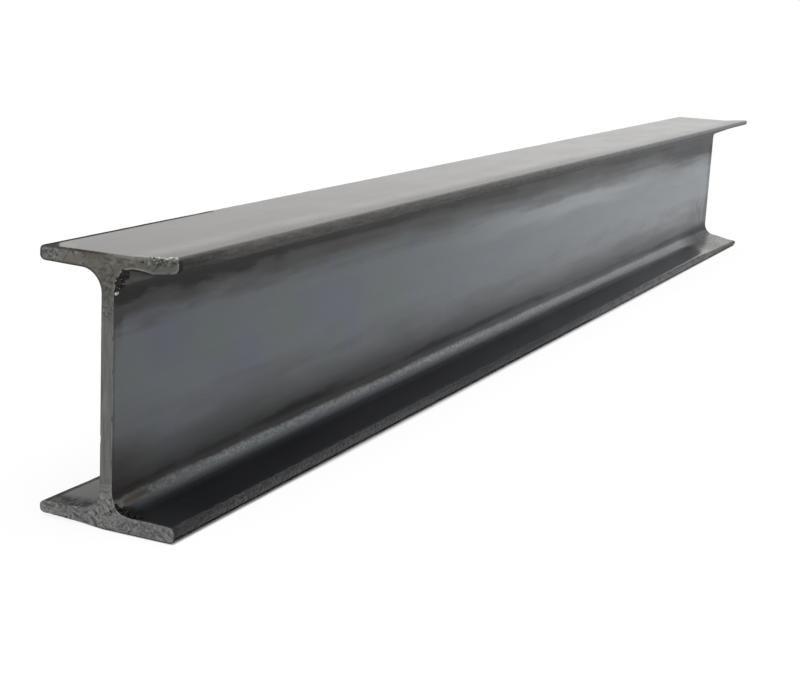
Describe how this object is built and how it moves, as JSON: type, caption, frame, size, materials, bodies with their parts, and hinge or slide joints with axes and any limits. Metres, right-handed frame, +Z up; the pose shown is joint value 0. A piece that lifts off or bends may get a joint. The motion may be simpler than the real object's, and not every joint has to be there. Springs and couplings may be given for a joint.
{
  "type": "steel i-beam",
  "caption": "Cut length of hot-rolled steel I-beam with wide, slightly tapered flanges, rounded toes and hollow web roots.",
  "frame": {"origin": "under the middle of the beam, on the level its lower flange stands on", "axes": "+X along the beam, +Y across the flanges, +Z up along the web"},
  "size_m": [0.84, 0.0576, 0.1],
  "materials": {
    "mill_scale_steel": "as rolled, thin blue-grey mill scale, ends sawn and left bare"
  },
  "bodies": {
    "root": {"i_beam": "mill_scale_steel"}
  },
  "joints": []
}
